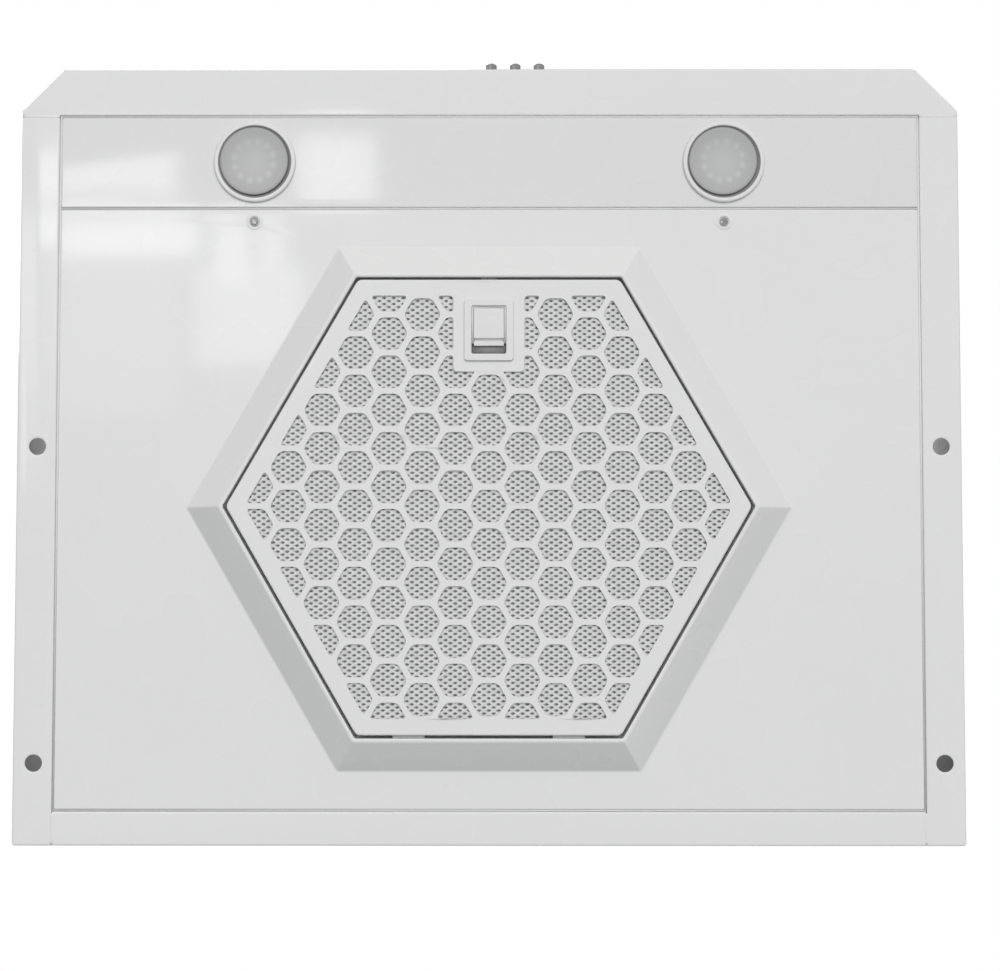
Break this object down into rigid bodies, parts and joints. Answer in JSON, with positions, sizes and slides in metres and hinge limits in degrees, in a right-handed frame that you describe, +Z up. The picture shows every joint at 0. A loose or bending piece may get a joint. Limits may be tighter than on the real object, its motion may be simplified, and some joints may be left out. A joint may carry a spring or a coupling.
{
  "type": "under cabinet range hood",
  "caption": "White enamelled under-cabinet range hood with sloped front, hexagonal honeycomb grease filter with a sliding latch, round lamps, push buttons, blower and round duct collar.",
  "frame": {"origin": "middle of the top panel's upper face, in the hood's width and depth, where the hood meets the cabinet", "axes": "+Z up, -Y towards the cook, +Y towards the wall, +X to the right of someone facing the hood"},
  "size_m": [0.6, 0.5044, 0.2001],
  "materials": {
    "white_enamel": "gloss white baked enamel on pressed steel sheet",
    "galvanised_sheet": "dull galvanised steel sheet",
    "filter_aluminium": "expanded aluminium mesh, degreased",
    "white_plastic": "semi-gloss moulded white plastic",
    "frosted_lens": "frosted diffuser over a ring of light-emitting chips",
    "led_board": "white solder mask with pale chips",
    "screw_steel": "bright plated screws",
    "spring_steel": "bright drawn wire",
    "button_metal": "satin domed caps",
    "black_plastic": "black moulded plastic",
    "wheel_metal": "galvanised rolled wheel",
    "motor_case": "grey lacquered motor body",
    "rubber_bush": "black rubber",
    "wire_cover": "PVC insulation",
    "can_plastic": "pale capacitor can"
  },
  "bodies": {
    "hood": {"front_shell": "white_enamel", "left_side_panel": "white_enamel", "right_side_panel": "white_enamel", "back_panel": "white_enamel", "top_panel": "white_enamel", "light_panel": "white_enamel", "bottom_panel": "white_enamel", "rear_outlet_cover": "galvanised_sheet", "blower_housing": "galvanised_sheet", "blower_inlet_plate": "galvanised_sheet", "duct_collar": "galvanised_sheet", "junction_box": "galvanised_sheet", "junction_box_cover": "galvanised_sheet", "switch_bracket": "galvanised_sheet", "lamp_bezel_left": "white_plastic", "lamp_bezel_right": "white_plastic", "lamp_lens_left": "frosted_lens", "lamp_lens_right": "frosted_lens", "led_board_left": "led_board", "led_board_right": "led_board", "bottom_panel_screw_left": "screw_steel", "bottom_panel_screw_right": "screw_steel", "outlet_screw_left": "screw_steel", "outlet_screw_right": "screw_steel", "blower_screw_1": "screw_steel", "blower_screw_2": "screw_steel", "blower_screw_3": "screw_steel", "blower_screw_4": "screw_steel", "damper_pin": "screw_steel", "lamp_housing_left": "black_plastic", "lamp_housing_right": "black_plastic", "switch_bank": "black_plastic", "lamp_driver": "black_plastic", "motor": "motor_case", "cable_grommet": "rubber_bush", "lamp_wire_left": "wire_cover", "lamp_wire_right": "wire_cover", "motor_wire": "wire_cover", "switch_wire": "wire_cover", "capacitor": "can_plastic"},
    "filter": {"filter_face_plate": "white_enamel", "filter_mesh_pack": "filter_aluminium", "filter_back_frame": "galvanised_sheet", "latch_bezel": "white_plastic", "latch_spring": "spring_steel"},
    "latch": {"latch_slider": "white_plastic"},
    "button_left": {"button_1": "button_metal"},
    "button_middle": {"button_2": "button_metal"},
    "button_right": {"button_3": "button_metal"},
    "wheel": {"impeller": "wheel_metal", "motor_shaft": "screw_steel", "impeller_nut": "screw_steel"},
    "damper_front": {"damper_flap_front": "galvanised_sheet"},
    "damper_rear": {"damper_flap_rear": "galvanised_sheet"}
  },
  "joints": [
    {"name": "filter_tilt", "type": "hinge", "parent": "hood", "child": "filter", "pos_m": [0, 0.17745, -0.1465], "axis": [1, 0, 0], "range_deg": [0, 75]},
    {"name": "latch_slide", "type": "slide", "parent": "filter", "child": "latch", "axis": [0, 1, 0], "range_m": [0, 0.0047], "stiffness_N_per_m": 600, "deforming": ["latch_spring"]},
    {"name": "press_left", "type": "slide", "parent": "hood", "child": "button_left", "axis": [0, 1, 0], "range_m": [0, 0.003], "stiffness_N_per_m": 400},
    {"name": "press_middle", "type": "slide", "parent": "hood", "child": "button_middle", "axis": [0, 1, 0], "range_m": [0, 0.003], "stiffness_N_per_m": 400},
    {"name": "press_right", "type": "slide", "parent": "hood", "child": "button_right", "axis": [0, 1, 0], "range_m": [0, 0.003], "stiffness_N_per_m": 400},
    {"name": "wheel_spin", "type": "hinge", "parent": "hood", "child": "wheel", "pos_m": [-0.05, 0.00575, -0.0422], "axis": [0, 0, 1], "continuous": true},
    {"name": "damper_front_swing", "type": "hinge", "parent": "hood", "child": "damper_front", "pos_m": [0, 0.15075, 0.012], "axis": [-1, 0, 0], "range_deg": [0, 75]},
    {"name": "damper_rear_swing", "type": "hinge", "parent": "hood", "child": "damper_rear", "pos_m": [0, 0.15075, 0.012], "axis": [1, 0, 0], "range_deg": [0, 75]}
  ]
}
